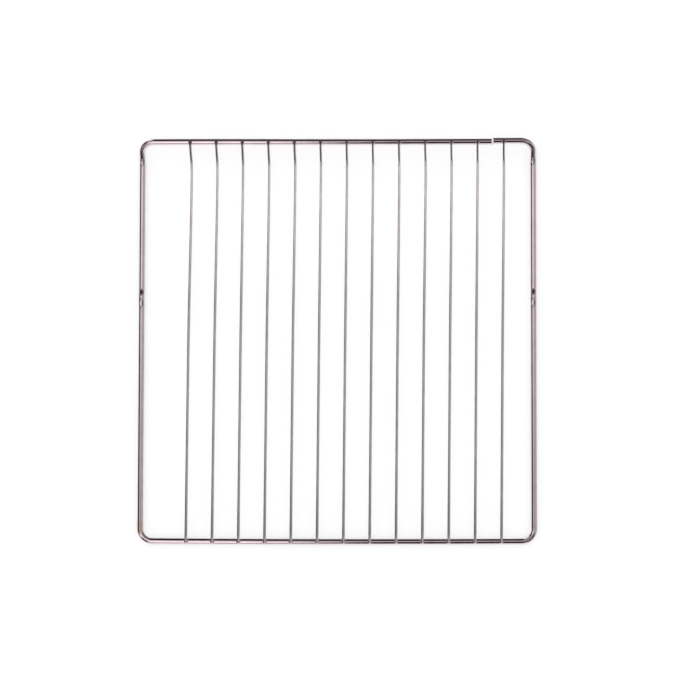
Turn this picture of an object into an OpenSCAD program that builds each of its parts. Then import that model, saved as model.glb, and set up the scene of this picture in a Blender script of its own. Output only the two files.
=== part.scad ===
// Wire cooling rack with a turned-up rear edge.
// +X is right, +Y is the rear, +Z is up. The rack stands on z = 0, with x = 0 and y = 0 at its middle.

/* [Overall] */
// overall width across the two side rails, mm
rack_w = 391; // [360:1:600]
// overall depth from the front bar to the rear bar, mm
rack_d = 399; // [300:1:600]

/* [Frame wire] */
// diameter of the frame wire, mm
frame_wire_d = 7; // [5:0.1:8.5]
// radius of the four corners, at the middle of the wire, mm
corner_r = 12; // [8:0.5:20]

/* [Turned-up rear edge] */
// angle of the rear edge above level, degrees
lip_angle = 34; // [20:1:60]
// rise of the rear bar above the side rails, mm
lip_rise = 12; // [8:0.5:25]
// radius of the side rails' rear bend, at the middle of the wire, mm
lip_bend_r = 18; // [8:0.5:30]

/* [Stop humps in the side rails] */
// distance from the rear of the rack to the top of the hump, mm
stop_from_rear = 156.5; // [100:0.5:180]
// length of a hump, mm
stop_length = 20; // [18:0.5:40]
// height of a hump, mm
stop_height = 1.2; // [1:0.1:8]

/* [Cross wires] */
// number of cross wires
wire_count = 13; // [5:1:13]
// diameter of a cross wire, mm
wire_d = 3; // [2:0.1:3.6]
// distance from one cross wire to the next, mm
wire_pitch = 25.6; // [14:0.1:27]
// distance that the set of cross wires sits right of the middle, mm
wire_shift = 8; // [-8:0.5:8]
// distance that the rear bend of a cross wire sits right of its front end, mm
wire_skew = 2.8; // [-4:0.1:4]
// radius of a cross wire's bend, at the middle of the wire, mm
wire_bend_r = 12; // [4:0.5:16]
// distance that a cross wire runs past the middle of the front bar, mm
wire_end_front = 2; // [1.5:0.1:4]
// distance that a cross wire runs past the middle of the rear bar, mm
wire_end_rear = 3.3; // [2:0.1:5]

/* [Welds] */
// distance that the cross wires are pressed into the bars, mm
weld_sink = 0.4; // [0.2:0.1:0.8]
// width of the bead round each crossing, mm
bead_d = 4.6; // [4:0.1:6]
// height of the bead above the top of the bar, mm
bead_h = 0.3; // [0.2:0.05:0.6]
// place of the frame wire's butt weld between the last two cross wires, 0 to 1
butt_place = 0.57; // [0.3:0.01:0.7]
// width of the butt weld, mm
butt_w = 1.8; // [1:0.1:4]
// height of the butt weld above the frame wire, mm
butt_proud = 0.2; // [0.1:0.05:0.5]

/* [Hidden] */
$fn = 64;
frame_r = frame_wire_d / 2;
wire_r = wire_d / 2;
// middle line of the frame wire: side rails, front bar, level part
rail_x = rack_w / 2 - frame_r;
front_y = -rack_d / 2 + frame_r;
level_z = frame_r;
// rear bar, and where the side rails turn up
rear_y = rack_d / 2 - frame_r;
rear_z = level_z + lip_rise;
lip_length = lip_rise / sin(lip_angle);
lip_y = rear_y - lip_rise / tan(lip_angle);
// bends in the rear edge, made smaller where the edge is short
rear_corner_r = min(corner_r, 0.6 * lip_length);
rail_bend_r = min(lip_bend_r, 0.3 * lip_length / tan(lip_angle / 2));
rail_bend_run = rail_bend_r * tan(lip_angle / 2);
// a hump is an arc over its top, two short straight flanks and a half arc at each foot
stop_angle = 1.76 * atan(2 * stop_height / stop_length);
stop_r = (stop_length - 2 * stop_height / tan(stop_angle))
  * sin(stop_angle) / (4 * (1 - cos(stop_angle)));
stop_flank = (stop_height - 2 * stop_r * (1 - cos(stop_angle))) / sin(stop_angle);
stop_start = rack_d / 2 - stop_from_rear - stop_length / 2;
// cross wires lie on the bars, sunk into them by the weld
wire_lift = frame_r + wire_r - weld_sink;
wire_z = level_z + wire_lift;
wire_lip_y = lip_y - wire_lift * tan(lip_angle / 2);
wire_level = wire_lip_y - front_y + wire_end_front;
wire_slope = lip_length + wire_end_rear - wire_lift * tan(lip_angle / 2);
wire_turn = atan(wire_skew / (wire_lip_y - front_y));
wire_bend_run = wire_bend_r * tan(lip_angle / 2);
// a bead stays narrower than the bar and reaches down to the bar's surface all round
bead_r = min(bead_d / 2, 0.8 * frame_r);
bead_drop = frame_r - sqrt(pow(frame_r, 2) - pow(bead_r, 2)) + 0.1;
butt_x = wire_end_x(wire_count - 1) + butt_place * wire_pitch;
// a wire's straights and bends stop this far short of each other, inside a short sleeve
gap = 0.02;
sleeve_l = 0.2;
sleeve_extra = 0.006;
deg = 180 / PI;

function wire_name(i) = str("wire_", i < 10 ? "0" : "", i);
// x of a cross wire where it turns up, and where it crosses the front bar
function wire_rear_x(i) =
  (i - (wire_count + 1) / 2) * wire_pitch + wire_shift + wire_skew / 2;
function wire_front_x(i) = wire_rear_x(i) - wire_skew;
// x of a cross wire where it crosses the rear bar
function wire_end_x(i) = wire_rear_x(i) + (rear_y - wire_lip_y) * tan(wire_turn);

module chrome() { color([0.78, 0.76, 0.77]) children(); }

// In these pieces of wire, seam is the angle from x at which the round surface starts.
// It follows one line along a whole wire, so that the pieces' ends match.

// a straight piece along z
module straight(d, from, to, seam) {
  translate([0, 0, from]) rotate([0, 0, seam]) cylinder(d = d, h = to - from);
}

// joins the two pieces that meet at the origin along z
module sleeve(d, seam) straight(d + sleeve_extra, -sleeve_l / 2, sleeve_l / 2, seam);

// an arc that starts at the origin along z and bends toward x
module arc(d, r, angle, seam) {
  short = gap / r * deg;
  translate([r, 0, 0]) rotate([90, 0, 180]) rotate([0, 0, short])
    rotate_extrude(angle = angle - 2 * short) translate([r, 0]) rotate(180 - seam) circle(d = d);
}

// A bent wire that starts at the origin along z. Each step is
// [turn about the wire, straight length, bend radius, bend angle].
// A step with no angle is the last one, and its end is cut square.
module bent_wire(d, steps, seam = 0, i = 0) {
  turn = steps[i][0];
  length = steps[i][1];
  r = steps[i][2];
  angle = steps[i][3];
  last = angle == 0;
  s = seam - turn;
  rotate([0, 0, turn]) {
    if (length > 0) straight(d, i == 0 ? 0 : gap, length - (last ? 0 : gap), s);
    if (!last) translate([0, 0, length]) {
      sleeve(d, s);
      arc(d, r, angle, s);
      translate([r, 0, 0]) rotate([0, angle, 0]) translate([-r, 0, 0]) {
        sleeve(d, s);
        bent_wire(d, steps, s, i + 1);
      }
    }
  }
}

// one side of the frame wire, from the front bar round to the butt weld
module frame_side(rear_length) {
  translate([rail_x - corner_r, front_y, level_z]) rotate([90, 0, 90])
    bent_wire(frame_wire_d, seam = -90, steps = [
      [0, 0, corner_r, 90],
      [90, stop_start - front_y - corner_r, stop_r, stop_angle],
      [180, stop_flank, stop_r, 2 * stop_angle],
      [180, stop_flank, stop_r, stop_angle],
      [0, lip_y - rail_bend_run - stop_start - stop_length, rail_bend_r, lip_angle],
      [-90, lip_length - rail_bend_run - rear_corner_r, rear_corner_r, 90],
      [0, rear_length, 0, 0]]);
}

module frame() chrome() {
  half = rail_x - corner_r - gap;
  translate([0, front_y, level_z]) rotate([0, 90, 0]) straight(frame_wire_d, -half, half, 0);
  frame_side(rail_x - rear_corner_r - butt_x - butt_w / 2);
  mirror([1, 0, 0]) frame_side(rail_x - rear_corner_r + butt_x - butt_w / 2);
}

// the two ends of the frame wire are joined here
module frame_butt_weld() chrome() {
  top = frame_r + butt_proud;
  slope = butt_w / 4;
  translate([butt_x - butt_w / 2, rear_y, rear_z]) rotate([0, 90, 0]) rotate_extrude()
    polygon([[0, 0], [frame_r, 0], [top, slope], [top, butt_w - slope],
             [frame_r, butt_w], [0, butt_w]]);
}

// one straight bar as wide as the rack, along x at the given place
module bar(y, z) {
  translate([-rack_w / 2, y, z]) rotate([0, 90, 0]) cylinder(d = frame_wire_d, h = rack_w);
}

// a cross wire before it is pressed into the bars
module whole_wire(i) {
  translate([wire_rear_x(i), wire_lip_y, wire_z]) rotate([0, 0, -wire_turn])
    translate([0, -wire_level, 0]) rotate([-90, -90, 0])
      bent_wire(wire_d, [
        [0, wire_level - wire_bend_run, wire_bend_r, lip_angle],
        [0, wire_slope - wire_bend_run, 0, 0]]);
}

module wire(i) chrome() difference() {
  whole_wire(i);
  bar(front_y, level_z);
  bar(rear_y, rear_z);
}

// metal squeezed out round one crossing, on a bar with its top at the origin
module bead() {
  translate([0, 0, -bead_drop]) cylinder(r1 = bead_r, r2 = 0.8 * bead_r, h = bead_drop + bead_h);
}

module front_welds() chrome()
  for (i = [1 : wire_count]) difference() {
    translate([wire_front_x(i), front_y, level_z + frame_r]) bead();
    whole_wire(i);
    bar(front_y, level_z);
  }

module rear_welds() chrome()
  for (i = [1 : wire_count]) difference() {
    translate([wire_end_x(i), rear_y, rear_z]) rotate([lip_angle, 0, 0])
      translate([0, 0, frame_r]) bead();
    whole_wire(i);
    bar(rear_y, rear_z);
  }

frame();
frame_butt_weld();
for (i = [1 : wire_count]) wire(i);
front_welds();
rear_welds();
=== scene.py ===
import bpy
import bmesh
import math
import random
from mathutils import Vector, Matrix


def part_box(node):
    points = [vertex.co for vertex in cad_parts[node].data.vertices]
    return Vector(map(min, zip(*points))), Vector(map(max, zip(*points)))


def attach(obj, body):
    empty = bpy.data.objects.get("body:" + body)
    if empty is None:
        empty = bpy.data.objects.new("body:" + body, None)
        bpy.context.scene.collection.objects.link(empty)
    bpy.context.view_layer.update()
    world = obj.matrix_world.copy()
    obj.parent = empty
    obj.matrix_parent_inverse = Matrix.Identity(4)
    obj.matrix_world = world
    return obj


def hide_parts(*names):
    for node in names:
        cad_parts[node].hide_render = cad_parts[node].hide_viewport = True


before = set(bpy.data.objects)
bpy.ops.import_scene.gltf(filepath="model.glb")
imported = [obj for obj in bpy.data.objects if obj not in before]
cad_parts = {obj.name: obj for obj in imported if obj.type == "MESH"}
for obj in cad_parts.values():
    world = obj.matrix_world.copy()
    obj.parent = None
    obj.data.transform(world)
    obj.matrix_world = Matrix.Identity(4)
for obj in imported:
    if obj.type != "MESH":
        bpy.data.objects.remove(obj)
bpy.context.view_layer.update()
scene = bpy.context.scene
random.seed(7)

# ---------------------------------------------------------------- sizes, in metres
FRAME_R = 0.0035
WIRE_R = 0.0015
CORNER_R = 0.012
LIP_ANGLE = math.radians(34)
LIP_BEND_R = 0.018
STOP_FROM_REAR = 0.1565
STOP_LENGTH = 0.020
STOP_HEIGHT = 0.0012
STOP_ANGLE = 1.76 * math.atan(2 * STOP_HEIGHT / STOP_LENGTH)
WIRE_BEND_R = 0.012
WIRE_END_FRONT = 0.002
WIRE_END_REAR = 0.0033
WELD_SINK = 0.0004
# radius of the worn edge round a cross wire's cut ends
WIRE_EDGE_R = 0.00035
# how far the butt weld stands proud, and how far its two ends are sunk
BUTT_PROUD = 0.00022
BUTT_SUNK = 0.00002
BEAD_R = 0.0023
# the heights between which a bead's top lies, how far its rim is sunk, and where its underside is
BEAD_TOP = (0.0005, 0.0007)
BEAD_SUNK = 0.00004
BEAD_UNDER = 0.0004
# a bead's outline as a part of BEAD_R: its mean, and how deep and how many the waves round it are
BEAD_MEAN = 0.93
BEAD_WAVES = ((0.05, 2), (0.04, 3), (0.02, 7))

# how far the bars aren't true: both are pulled in a little by their welds, and then the front bar's
# ends a little more, and the rear bar left of its butt weld
BAR_PULL = 0.0003
FRONT_BOW = 0.0007
REAR_BOW = 0.0008
# where the rear bar's bow grows, with the left rail at -1 and the right one at 1
REAR_BOW_GROWS = (-0.8, 0.3)
# how far each cross wire bows to the right just in front of its rear bend
WIRE_BOWS = [mm / 1000 for mm in (1.2, 0.9, 0.45, 0.6, 0.65, 0.25, 0.25,
                                  0.2, 0.4, 0.65, 0.45, 0.25, 0.4)]
# where such a bow grows and where it fades, with the front bar at 0 and the bend at 1
WIRE_BOW_GROWS = (0.5, 0.95)
WIRE_BOW_FADES = (1.05, 0.96)

# how many times the beads' texture repeats in a metre
BEAD_UV = 40
# how finely the shapes are divided: round a wire, along its bends, and along its straights
FRAME_SIDES = 32
FRAME_STEP = 0.0008
WIRE_SIDES = 20
WIRE_STEP = 0.0006
LONGEST = 0.004
EDGE_STEPS = 5
BUTT_STEPS = 12
BEAD_RINGS = 9
BEAD_SIDES = 28

f_lo, f_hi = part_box("frame")
rail_x = f_hi[0] - FRAME_R
front_y = f_lo[1] + FRAME_R
rear_y = f_hi[1] - FRAME_R
level_z = f_lo[2] + FRAME_R
rear_z = f_hi[2] - FRAME_R
lip_rise = rear_z - level_z
lip_length = lip_rise / math.sin(LIP_ANGLE)
lip_y = rear_y - lip_rise / math.tan(LIP_ANGLE)
# the bends in the rear edge, made smaller where it is short, as in the CAD model
rear_corner_r = min(CORNER_R, 0.6 * lip_length)
rail_bend_r = min(LIP_BEND_R, 0.3 * lip_length / math.tan(LIP_ANGLE / 2))

WIRES = sorted(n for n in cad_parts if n.startswith("wire_"))
butt_lo, butt_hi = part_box("frame_butt_weld")
butt_x = (butt_lo[0] + butt_hi[0]) / 2
butt_w = butt_hi[0] - butt_lo[0]


def smooth(v, lo, hi):
    """A smooth step from 0 at lo to 1 at hi, which may be the lower one."""
    k = min(max((v - lo) / (hi - lo), 0), 1)
    return k * k * (3 - 2 * k)


def untrue(p):
    """The bars aren't quite straight. Frame, wires and beads all follow, so they stay in touch."""
    u = p.x / rail_x
    v = (p.y - front_y) / (rear_y - front_y)
    front = BAR_PULL + FRONT_BOW * u * u
    rear = BAR_PULL + (REAR_BOW * smooth(u, *REAR_BOW_GROWS) if p.x < butt_x else 0)
    return p + Vector((0, front * smooth(v, 0.5, 0) - rear * smooth(v, 0.5, 1), 0))


# ---------------------------------------------------------------- paths and sweeps
def rounded(corners, step):
    """Points along a line through corners [(point, radius), ...], with each inner corner rounded by an
    arc that has a point about every step, and five steps at least."""
    pts = [Vector(p) for p, _ in corners]
    out = [pts[0]]
    for i in range(1, len(pts) - 1):
        r = corners[i][1]
        a = (pts[i - 1] - pts[i]).normalized()
        b = (pts[i + 1] - pts[i]).normalized()
        turn = math.pi - a.angle(b)
        cut = r * math.tan(turn / 2)
        centre = pts[i] + (a + b).normalized() * (r / math.cos(turn / 2))
        u = (pts[i] + a * cut - centre).normalized()
        w = (pts[i] + b * cut - centre).normalized()
        n = max(5, int(r * turn / step))
        for k in range(n + 1):
            t = k / n
            across = u * math.sin((1 - t) * turn) + w * math.sin(t * turn)
            out.append(centre + r * across / math.sin(turn))
    out.append(pts[-1])
    return out


def subdivide(points, longest):
    """The same line, with points added where two are farther apart than longest."""
    out = [points[0]]
    for a, b in zip(points, points[1:]):
        n = max(1, math.ceil((b - a).length / longest))
        out += [a + (b - a) * (k / n) for k in range(1, n + 1)]
    return out


def skin(name, rings, sides):
    """Joins rings of (centre, across, across, radius or function of angle, distance along) to a closed
    round body with flat ends. UV: u round it, v along it in metres, so a texture can follow the wire."""
    cap_u, cap_r = 0.5, 0.1
    angles = [2 * math.pi * k / sides for k in range(sides)]
    verts = []
    for p, e1, e2, r, s in rings:
        for t in angles:
            verts.append(p + (e1 * math.cos(t) + e2 * math.sin(t)) * (r(t) if callable(r) else r))
    faces, uvs = [], []
    last = len(rings) - 1
    for j in range(last):
        v0, v1 = rings[j][4], rings[j + 1][4]
        for k in range(sides):
            k2 = (k + 1) % sides
            faces.append((j * sides + k, j * sides + k2, (j + 1) * sides + k2, (j + 1) * sides + k))
            u0, u1 = k / sides, (k + 1) / sides
            uvs += [(u0, v0), (u1, v0), (u1, v1), (u0, v1)]
    for j, order in ((0, range(sides - 1, -1, -1)), (last, range(sides))):
        faces.append([j * sides + k for k in order])
        for k in order:
            t = angles[k]
            uvs.append((cap_u + cap_r * math.cos(t), rings[j][4] + cap_r * math.sin(t)))
    obj = piece(name, verts, faces, uvs, smooth_faces=len(faces) - 2)
    for e in obj.data.edges:
        if max(e.vertices) < sides or min(e.vertices) >= last * sides:
            e.use_edge_sharp = True
    return obj


def tube(name, points, radius, sides, end_r=0.0):
    """A swept round wire with flat ends, whose edges are rounded by end_r."""
    n = len(points)
    tangents = [(points[min(i + 1, n - 1)] - points[max(i - 1, 0)]).normalized() for i in range(n)]
    along = 0.0
    rings = []
    u = Vector((0, 0, 1))
    for i, t in enumerate(tangents):
        if i:
            along += (points[i] - points[i - 1]).length
        u = (u - t * u.dot(t)).normalized()
        rings.append((points[i], u.copy(), t.cross(u), radius, along))
    if end_r:
        rings = (worn_end(rings[0], tangents[0], end_r) + rings[1:-1]
                 + worn_end(rings[-1], -tangents[-1], end_r)[::-1])
    return skin(name, rings, sides)


def worn_end(ring, inward, r_end):
    """The last rings of a wire whose end has a rounded edge of radius r_end."""
    p, e1, e2, r, s = ring
    sign = 1 if s == 0 else -1
    rings = []
    for k in range(EDGE_STEPS + 1):
        a = k / EDGE_STEPS * math.pi / 2
        d = r_end * (1 - math.sin(a))
        rings.append((p + inward * d, e1, e2, r - r_end * (1 - math.cos(a)), s + sign * d))
    return rings[::-1] + [(p + inward * 2 * r_end, e1, e2, r, s + sign * 2 * r_end)]


def piece(name, verts, faces, uvs, smooth_faces):
    """A new object. Its first smooth_faces faces are shaded smooth."""
    mesh = bpy.data.meshes.new(name)
    mesh.from_pydata([tuple(v) for v in verts], [], faces)
    layer = mesh.uv_layers.new(name="UVMap")
    layer.data.foreach_set("uv", [c for uv in uvs for c in uv])
    mesh.polygons.foreach_set("use_smooth", [i < smooth_faces for i in range(len(faces))])
    mesh.update()
    obj = bpy.data.objects.new(name, mesh)
    scene.collection.objects.link(obj)
    return obj


def place(obj, mat, slot, *nodes):
    obj.data.materials.append(mat)
    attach(obj, "root")
    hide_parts(*nodes)


# ---------------------------------------------------------------- materials
class Tree:
    """Small helper for node trees. Each value may be a socket or a number."""

    def __init__(self, tree):
        tree.nodes.clear()
        self.tree = tree

    def node(self, kind, **values):
        n = self.tree.nodes.new(kind)
        for key, v in values.items():
            setattr(n, key, v)
        return n

    def set(self, socket, v):
        if isinstance(v, bpy.types.NodeSocket):
            self.tree.links.new(v, socket)
        else:
            socket.default_value = v

    def math(self, op, a, b=0.0):
        n = self.node("ShaderNodeMath", operation=op)
        self.set(n.inputs[0], a)
        self.set(n.inputs[1], b)
        return n.outputs[0]

    def product(self, a, *others):
        for b in others:
            a = self.math("MULTIPLY", a, b)
        return a

    def step(self, v, lo, hi, out_lo=0.0, out_hi=1.0):
        """A smooth step of v from out_lo at lo to out_hi at hi."""
        n = self.node("ShaderNodeMapRange", interpolation_type="SMOOTHSTEP")
        for name, x in (("Value", v), ("From Min", lo), ("From Max", hi),
                        ("To Min", out_lo), ("To Max", out_hi)):
            self.set(n.inputs[name], x)
        return n.outputs["Result"]

    def mix(self, f, a, b, blend="MIX"):
        n = self.node("ShaderNodeMix", data_type="RGBA", blend_type=blend)
        self.set(n.inputs[0], f)
        self.set(n.inputs[6], a)
        self.set(n.inputs[7], b)
        return n.outputs[2]

    def noise(self, at, scale, detail, dimensions="3D"):
        n = self.node("ShaderNodeTexNoise", noise_dimensions=dimensions)
        self.set(n.inputs["Vector"], at)
        self.set(n.inputs["Scale"], scale)
        self.set(n.inputs["Detail"], detail)
        return n.outputs["Fac"]

    def ramp(self, v, stops):
        """A colour ramp over v through stops [(position, (r, g, b)), ...]."""
        n = self.node("ShaderNodeValToRGB")
        e = n.color_ramp.elements
        while len(e) < len(stops):
            e.new(0.5)
        # all positions first, since the elements are kept in their order
        for el, (pos, _) in zip(e, stops):
            el.position = pos
        for el, (pos, col) in zip(e, stops):
            el.position = pos
            el.color = (*col, 1)
        self.set(n.inputs[0], v)
        return n.outputs["Color"]


# the drawing lines: how fine they are round and along the wire, their detail, and their height
LINE_SCALE = (70.0, 60.0, 1.0)
LINE_DETAIL = 4.0
LINE_HEIGHT = 0.00004
# the clouds in the plating
CLOUD_SCALE = 90.0
CLOUD_DETAIL = 3.0


def chrome(name, base, rough, line_depth, cloud, metallic=1.0, tint=None):
    """Plated wire with fine drawing lines, and with clouds that are darker by the part cloud.
    tint(tree, place, colour) may change the plating's colour by place."""
    mat = bpy.data.materials.new(name)
    mat.use_nodes = True
    t = Tree(mat.node_tree)
    out = t.node("ShaderNodeOutputMaterial")
    bsdf = t.node("ShaderNodeBsdfPrincipled")
    bsdf.inputs["Metallic"].default_value = metallic
    t.set(out.inputs[0], bsdf.outputs[0])
    uv = t.node("ShaderNodeUVMap", uv_map="UVMap")
    scaled = t.node("ShaderNodeMapping")
    scaled.inputs["Scale"].default_value = LINE_SCALE
    t.set(scaled.inputs[0], uv.outputs[0])
    lines = t.noise(scaled.outputs[0], 1.0, LINE_DETAIL, "2D")
    at = t.node("ShaderNodeTexCoord").outputs["Object"]
    clouds = t.noise(at, CLOUD_SCALE, CLOUD_DETAIL)
    col = t.ramp(clouds, [(0.3, [c * (1 - cloud) for c in base]), (0.7, base)])
    if tint:
        col = tint(t, at, col)
    t.set(bsdf.inputs["Base Color"], col)
    t.set(bsdf.inputs["Roughness"], t.step(lines, 0.3, 0.7, rough * 0.75, rough * 1.4))
    bump = t.node("ShaderNodeBump")
    bump.inputs["Strength"].default_value = line_depth
    bump.inputs["Distance"].default_value = LINE_HEIGHT
    t.set(bump.inputs["Height"], lines)
    t.set(bsdf.inputs["Normal"], bump.outputs[0])
    return mat


STAIN = (0.80, 0.58, 0.44, 1)
STAIN_AT = (-rail_x, front_y + 0.014, FRAME_R * 2)
# the distances over which the stain fades, and how strong it is in its middle
STAIN_FADES = (0.003, 0.010)
STAIN_STRENGTH = 0.6

# Painted shade and painted light along the cross wires: how bright their colour is made, by place from
# the front bar (0) to the rear bar (1), darker near the front bar and lighter toward the rear. These
# tones, and the painted shade of the dark last 2 mm, were tuned to the photograph.
WIRE_PAINTED_SHADE_AND_LIGHT = ((0.0, 0.95), (0.008, 0.85), (0.02, 0.60), (0.10, 0.75), (0.20, 0.86), (0.45, 0.84),
           (0.60, 0.80), (0.72, 0.95), (0.82, 1.08), (0.938, 1.12))
# the same on the turned-up part, whose colour is darker at the left as painted shade and lighter at the
# right as painted light
REAR_LEFT_PAINTED_SHADE = ((0.956, 0.90), (0.988, 0.90), (0.994, 0.20), (1.0, 0.12))
REAR_RIGHT_PAINTED_SHADE_AND_LIGHT = ((0.956, 1.12), (0.988, 1.12), (0.994, 0.20), (1.0, 0.12))
# the x over which the left ones turn into the right ones
REAR_TURNS = (-0.08, 0.06)


def browned_corner(t, at, col):
    """A faint brown stain on the left rail, just behind the front left corner."""
    d = t.node("ShaderNodeVectorMath", operation="DISTANCE")
    t.set(d.inputs[0], at)
    t.set(d.inputs[1], STAIN_AT)
    near = t.step(d.outputs["Value"], *STAIN_FADES, STAIN_STRENGTH, 0.0)
    return t.mix(near, col, STAIN)


def painted_shade_and_light_on_wires(t, at, col):
    """Painted shade and light on the cross wires: their colour is darker toward the front and lighter
    toward the rear edge.
    """
    xyz = t.node("ShaderNodeSeparateXYZ")
    t.set(xyz.inputs[0], at)
    x, y, _ = xyz.outputs
    v = t.math("DIVIDE", t.math("SUBTRACT", y, front_y), rear_y - front_y)
    left, right = (t.ramp(v, [(stop, (k, k, k)) for stop, k in WIRE_PAINTED_SHADE_AND_LIGHT + rear])
                   for rear in (REAR_LEFT_PAINTED_SHADE, REAR_RIGHT_PAINTED_SHADE_AND_LIGHT))
    return t.mix(1.0, col, t.mix(t.step(x, *REAR_TURNS), left, right), blend="MULTIPLY")


frame_mat = chrome("frame_chrome", (0.86, 0.81, 0.835), 0.07, 0.10, 0.10, tint=browned_corner)
# the cross wires' colour carries painted shade and painted light along them
wire_mat = chrome("wire_chrome", (0.885, 0.89, 0.895), 0.13, 0.12, 0.12, tint=painted_shade_and_light_on_wires)
weld_mat = chrome("weld_metal", (0.80, 0.76, 0.78), 0.28, 0.30, 0.15)
# near white and mostly matte: a painted highlight on the butt weld
butt_painted_highlight_mat = chrome("butt_weld_painted_highlight", (0.97, 0.95, 0.96), 0.5, 0.30, 0.06, metallic=0.3)
# near black: painted shade on the wires' cut ends
cut_end_painted_shade_mat = chrome("wire_cut_end_painted_shade", (0.05, 0.04, 0.04), 0.35, 0.50, 0.40)


# ---------------------------------------------------------------- frame wire
def side_corners(sign):
    """Corners of one side of the frame wire, from the front bar to the rear bar, with their radii."""
    x = sign * rail_x
    run = STOP_LENGTH - 2 * STOP_HEIGHT / math.tan(STOP_ANGLE)
    r = run * math.sin(STOP_ANGLE) / (4 * (1 - math.cos(STOP_ANGLE)))
    foot = r * math.tan(STOP_ANGLE / 2)
    top_y = f_hi[1] - STOP_FROM_REAR
    y0, y1 = top_y - STOP_LENGTH / 2 + foot, top_y + STOP_LENGTH / 2 - foot
    tip = level_z + (top_y - y0) * math.tan(STOP_ANGLE)
    return [((x, front_y, level_z), CORNER_R),
            ((x, y0, level_z), r), ((x, top_y, tip), r), ((x, y1, level_z), r),
            ((x, lip_y, level_z), rail_bend_r), ((x, rear_y, rear_z), rear_corner_r)]


ends = [((butt_x + s * butt_w / 2, rear_y, rear_z), 0) for s in (1, -1)]
loop = [ends[0]] + side_corners(1)[::-1] + side_corners(-1) + [ends[1]]
loop_points = [untrue(p) for p in subdivide(rounded(loop, FRAME_STEP), LONGEST)]
frame_wire = tube("frame_bent_wire", loop_points, FRAME_R, FRAME_SIDES)
place(frame_wire, frame_mat, "frame_chrome", "frame")


def uneven(swell):
    """The butt weld's radius by the angle round the wire, where it stands swell proud on average."""
    return lambda t: FRAME_R - BUTT_SUNK + swell * (1 + 0.12 * math.sin(3 * t + 1))


# the ridge squeezed out round the butt weld
butt_rings = []
for i in range(BUTT_STEPS + 1):
    k = i / BUTT_STEPS
    centre = loop_points[-1].lerp(loop_points[0], smooth(k, 0.1, 0.9))
    swell = BUTT_PROUD * math.sin(math.pi * k) ** 0.5
    butt_rings.append((centre, Vector((0, 0, 1)), Vector((0, -1, 0)), uneven(swell), butt_w * k))
# the butt weld's flash carries the painted highlight
place(skin("frame_butt_flash", butt_rings, FRAME_SIDES), butt_painted_highlight_mat, "weld_metal", "frame_butt_weld")

# ---------------------------------------------------------------- cross wires
lift = FRAME_R + WIRE_R - WELD_SINK
wire_z = level_z + lift
shorter = lift * math.tan(LIP_ANGLE / 2)
wire_lip_y = lip_y - shorter
wire_slope = lip_length + WIRE_END_REAR - shorter
front_end_y = front_y - WIRE_END_FRONT
rear_end_y = wire_lip_y + wire_slope * math.cos(LIP_ANGLE)
rear_end_z = wire_z + wire_slope * math.sin(LIP_ANGLE)
crossings = []
for node, bow in zip(WIRES, WIRE_BOWS):
    lo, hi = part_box(node)
    x0, x1 = lo[0] + WIRE_R, hi[0] - WIRE_R
    lean = (x1 - x0) / (rear_end_y - front_end_y)

    def x_at(y):
        return x0 + lean * (y - front_end_y)

    corners = [((x_at(front_end_y), front_end_y, wire_z), 0),
               ((x_at(wire_lip_y), wire_lip_y, wire_z), WIRE_BEND_R),
               ((x_at(rear_end_y), rear_end_y, rear_end_z), 0)]
    pts = [untrue(p) for p in subdivide(rounded(corners, WIRE_STEP), LONGEST)]
    for p in pts:
        v = (p.y - front_y) / (wire_lip_y - front_y)
        p.x += bow * smooth(v, *WIRE_BOW_GROWS) * smooth(v, *WIRE_BOW_FADES)
    obj = tube(node + "_bar", pts, WIRE_R, WIRE_SIDES, end_r=WIRE_EDGE_R)
    place(obj, wire_mat, "wire_chrome", node)
    # the two cut ends, coloured near black as painted shade
    obj.data.materials.append(cut_end_painted_shade_mat)
    for face in obj.data.polygons[-2:]:
        face.material_index = 1
    crossings.append((x_at(front_y), x_at(rear_y)))


# ---------------------------------------------------------------- weld beads
def beads(name, origins, along, normal, node):
    """Low uneven mounds of squeezed metal between the wires and a bar, one at each crossing."""
    side = Vector((1, 0, 0))
    verts, faces, uvs = [], [], []
    for o in origins:
        phases = [random.uniform(0, 2 * math.pi) for _ in BEAD_WAVES]
        high = random.uniform(*BEAD_TOP)
        base = len(verts)
        for under in (False, True):
            for j in range(BEAD_RINGS + 1):
                for k in range(BEAD_SIDES):
                    t = 2 * math.pi * k / BEAD_SIDES
                    reach = BEAD_MEAN
                    for (deep, waves), phase in zip(BEAD_WAVES, phases):
                        reach += deep * math.sin(waves * t + phase)
                    f = j / BEAD_RINGS
                    x, y = BEAD_R * reach * f * math.cos(t), BEAD_R * reach * f * math.sin(t)
                    z = math.sqrt(FRAME_R ** 2 - y ** 2) - FRAME_R
                    z += -BEAD_UNDER if under else high * (1 - f ** 2.2) - BEAD_SUNK
                    verts.append(o + side * x + along * y + normal * z)
        top = (BEAD_RINGS + 1) * BEAD_SIDES
        for under in (0, 1):
            for j in range(BEAD_RINGS):
                inner = base + under * top + j * BEAD_SIDES
                outer = inner + BEAD_SIDES
                for k in range(BEAD_SIDES):
                    k2 = (k + 1) % BEAD_SIDES
                    q = [inner + k, outer + k, outer + k2, inner + k2]
                    faces.append(q[::-1] if under else q)
        rim = base + BEAD_RINGS * BEAD_SIDES
        for k in range(BEAD_SIDES):
            k2 = (k + 1) % BEAD_SIDES
            faces.append((rim + k, rim + top + k, rim + top + k2, rim + k2))
    for f in faces:
        uvs += [(verts[v].x * BEAD_UV, verts[v].y * BEAD_UV) for v in f]
    obj = piece(name, verts, faces, uvs, smooth_faces=len(faces))
    # the innermost ring of each side is one point
    mesh = bmesh.new()
    mesh.from_mesh(obj.data)
    bmesh.ops.remove_doubles(mesh, verts=mesh.verts, dist=1e-6)
    mesh.to_mesh(obj.data)
    mesh.free()
    place(obj, weld_mat, "weld_metal", node)


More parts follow.
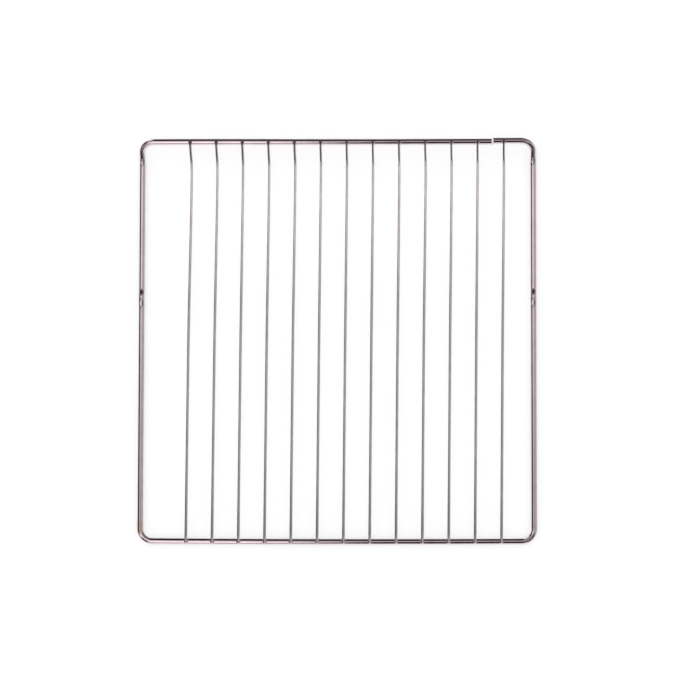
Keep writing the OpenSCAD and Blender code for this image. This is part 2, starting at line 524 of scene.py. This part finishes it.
up = Vector((0, 0, 1))
slope_up = Vector((0, math.cos(LIP_ANGLE), math.sin(LIP_ANGLE)))
slope_out = Vector((0, -math.sin(LIP_ANGLE), math.cos(LIP_ANGLE)))
front_tops = [untrue(Vector((x, front_y, level_z))) + up * FRAME_R for x, _ in crossings]
rear_tops = [untrue(Vector((x, rear_y, rear_z))) + slope_out * FRAME_R for _, x in crossings]
beads("front_weld_beads", front_tops, Vector((0, 1, 0)), up, "front_welds")
beads("rear_weld_beads", rear_tops, slope_up, slope_out, "rear_welds")

# ---------------------------------------------------------------- floor
FLOOR_HALF = 5.0
FLOOR_Z = -0.0002
# the floor scatters light by its colour; the glow is only seen, and lights nothing
FLOOR_COLOUR = (0.5, 0.5, 0.5, 1)
FLOOR_GLOW = 0.58

mesh = bpy.data.meshes.new("floor")
square = [(x * FLOOR_HALF, y * FLOOR_HALF, FLOOR_Z) for x, y in ((-1, -1), (1, -1), (1, 1), (-1, 1))]
mesh.from_pydata(square, [], [(0, 1, 2, 3)])
floor = bpy.data.objects.new("floor", mesh)
scene.collection.objects.link(floor)
paper = bpy.data.materials.new("floor_paper")
paper.use_nodes = True
t = Tree(paper.node_tree)
out = t.node("ShaderNodeOutputMaterial")
diffuse = t.node("ShaderNodeBsdfDiffuse")
diffuse.inputs["Color"].default_value = FLOOR_COLOUR
rays = t.node("ShaderNodeLightPath").outputs
seen = t.math("MAXIMUM", rays["Is Camera Ray"], rays["Is Glossy Ray"])
seen = t.math("MAXIMUM", seen, rays["Is Transmission Ray"])
glow = t.node("ShaderNodeEmission")
t.set(glow.inputs["Strength"], t.math("MULTIPLY", seen, FLOOR_GLOW))
added = t.node("ShaderNodeAddShader")
t.set(added.inputs[0], diffuse.outputs[0])
t.set(added.inputs[1], glow.outputs[0])
t.set(out.inputs[0], added.outputs[0])
floor.data.materials.append(paper)

# ---------------------------------------------------------------- studio
# The chrome shows little but this world, which is painted by direction only.
world = bpy.data.worlds.new("studio")
scene.world = world
world.use_nodes = True
t = Tree(world.node_tree)
out = t.node("ShaderNodeOutputWorld")
xyz = t.node("ShaderNodeSeparateXYZ")
t.set(xyz.inputs[0], t.node("ShaderNodeTexCoord").outputs["Generated"])
X, Y, Z = xyz.outputs
# 0 straight up, 1 at the horizon
theta = t.math("DIVIDE", t.math("ARCCOSINE", Z), math.pi / 2)
ring = t.math("SQRT", t.math("MAXIMUM", t.math("SUBTRACT", 1.0, t.product(Z, Z)), 1e-4))
# the level direction
HX = t.math("DIVIDE", X, ring)
HY = t.math("DIVIDE", Y, ring)

WHITE = (1.0, 1.0, 1.0, 1.0)
PINK = (1.0, 0.86, 0.91)
PLUM = (1.0, 0.66, 0.76)
GREY = (1.0, 0.97, 0.98)


def profile(*stops):
    """A tone by the angle from straight up, through stops (degrees, brightness, tint), ..."""
    return t.ramp(theta, [(deg / 90, [v * c for c in tint]) for deg, v, tint in stops])


def tilt_step(lo, hi, *ends):
    """A step over the angle from straight up, in degrees."""
    return t.step(theta, lo / 90, hi / 90, *ends)


def below(v, lo, hi):
    """1 where v is under lo, and 0 where it is over hi."""
    return t.step(v, lo, hi, 1.0, 0.0)


# toward the sides: for each side one tone for directions that lean forward, and a lighter one for
# those that lean back
left_dark = profile((0, .30, PINK), (7, .52, PINK), (28, .54, PINK), (35, .5, PINK), (42, .04, PLUM),
                    (58, .01, PLUM), (90, .005, PLUM))
left_light = profile((0, .50, PINK), (7, 1.0, PINK), (36, 1.0, PINK), (45, .12, PLUM),
                     (60, .06, PLUM), (90, .06, PLUM))
right_dark = profile((0, .30, PINK), (7, .32, GREY), (20, .36, GREY), (40, .50, GREY),
                     (60, .45, GREY), (80, .35, GREY), (90, .35, GREY))
right_light = profile((0, .50, PINK), (7, .46, PINK), (30, .46, PINK), (60, .55, PINK),
                      (80, .45, GREY), (90, .45, GREY))
back = t.step(Y, 0.03, 0.14)
left = t.mix(back, left_dark, left_light)
right = t.mix(back, right_dark, right_light)
sky = t.mix(t.step(X, -0.06, 0.06), left, right)

# toward the rear
rear = profile((0, .30, PINK), (4, .50, PINK), (7, .85, PINK), (12, .85, PINK), (17, .45, PINK),
               (24, .12, PLUM), (32, .04, PLUM), (50, .02, PLUM), (90, .01, PLUM))
sky = t.mix(t.step(HY, 0.35, 0.75), sky, rear)

# toward the front, left and right: first beside it, then straight ahead
beside_left = profile((0, .30, PINK), (5, .8, PINK), (9, 1.2, PINK), (54, 1.2, PINK), (62, .06, PLUM),
                      (70, .02, PLUM), (90, .01, PLUM))
beside_right = profile((0, .25, PINK), (4, .05, PLUM), (40, .04, PLUM), (52, .30, GREY),
                       (80, .35, GREY), (90, .35, GREY))
front_left = profile((0, .30, PINK), (5, .8, PINK), (9, 1.3, PINK), (50, 1.3, PINK), (57, .10, PLUM),
                     (68, .08, PLUM), (75, .9, PINK), (90, 1.0, PINK))
front_right = profile((0, .25, PINK), (4, .05, PLUM), (58, .03, PLUM), (64, .25, PINK),
                      (70, 1.0, PINK), (90, 1.0, GREY))
front_turns = t.step(X, -0.066, -0.036)
sky = t.mix(below(HY, -0.40, -0.20), sky, t.mix(front_turns, beside_left, beside_right))
sky = t.mix(below(HY, -0.95, -0.85), sky, t.mix(front_turns, front_left, front_right))

# what the four round corners show: the directions between the bars' and the rails'
rear_half = t.product(tilt_step(44, 52), t.step(HY, 0.30, 0.45))
front_half = t.product(tilt_step(22, 32), below(HY, -0.60, -0.50), tilt_step(54, 60, 1.0, 0.0))
to_left = below(X, -0.20, -0.13)
to_right = t.step(X, 0.05, 0.12)
corners_seen = (
    (t.product(rear_half, to_left, t.step(HX, -0.75, -0.62)),
     profile((0, .9, PINK), (75, .9, PINK), (90, .5, PINK))),
    (t.product(rear_half, to_right),
     profile((0, .55, GREY), (46, .55, GREY), (60, .16, PLUM), (90, .10, PLUM))),
    (t.product(front_half, to_right),
     profile((0, .8, GREY), (27, .75, GREY), (38, .06, PLUM), (90, .06, PLUM))),
    (t.product(front_half, to_left, below(HX, -0.5, -0.3)),
     profile((0, .5, PINK), (28, .35, PINK), (38, .05, PLUM), (90, .04, PLUM))),
)
for where, tone in corners_seen:
    sky = t.mix(where, sky, tone)

# the floor is lit by plain white, and the backdrop is white
rays = t.node("ShaderNodeLightPath").outputs
for kind in ("Is Diffuse Ray", "Is Camera Ray"):
    sky = t.mix(rays[kind], sky, WHITE)
bg = t.node("ShaderNodeBackground")
t.set(bg.inputs["Color"], sky)
t.set(out.inputs[0], bg.outputs[0])

# ---------------------------------------------------------------- camera
# fitted to the photograph
CAM_POS = Vector((0.13015, -0.2539, 3.120))
CAM_TO = Vector((0.00262, 0.00169, 0.0))
ROLL = 0.0022
LENS = 169.3
cam = bpy.data.cameras.new("camera")
cam.sensor_width = 36.0
cam.lens = LENS
cam.clip_start = 0.1
cam.clip_end = 50
camera = bpy.data.objects.new("camera", cam)
scene.collection.objects.link(camera)
toward = (CAM_POS - CAM_TO).normalized()
right_dir = Vector((-math.sin(ROLL), math.cos(ROLL), 0)).cross(toward).normalized()
axes = Matrix((right_dir, toward.cross(right_dir), toward)).transposed()
camera.matrix_world = Matrix.Translation(CAM_POS) @ axes.to_4x4()
scene.camera = camera

scene.view_settings.view_transform = "Standard"
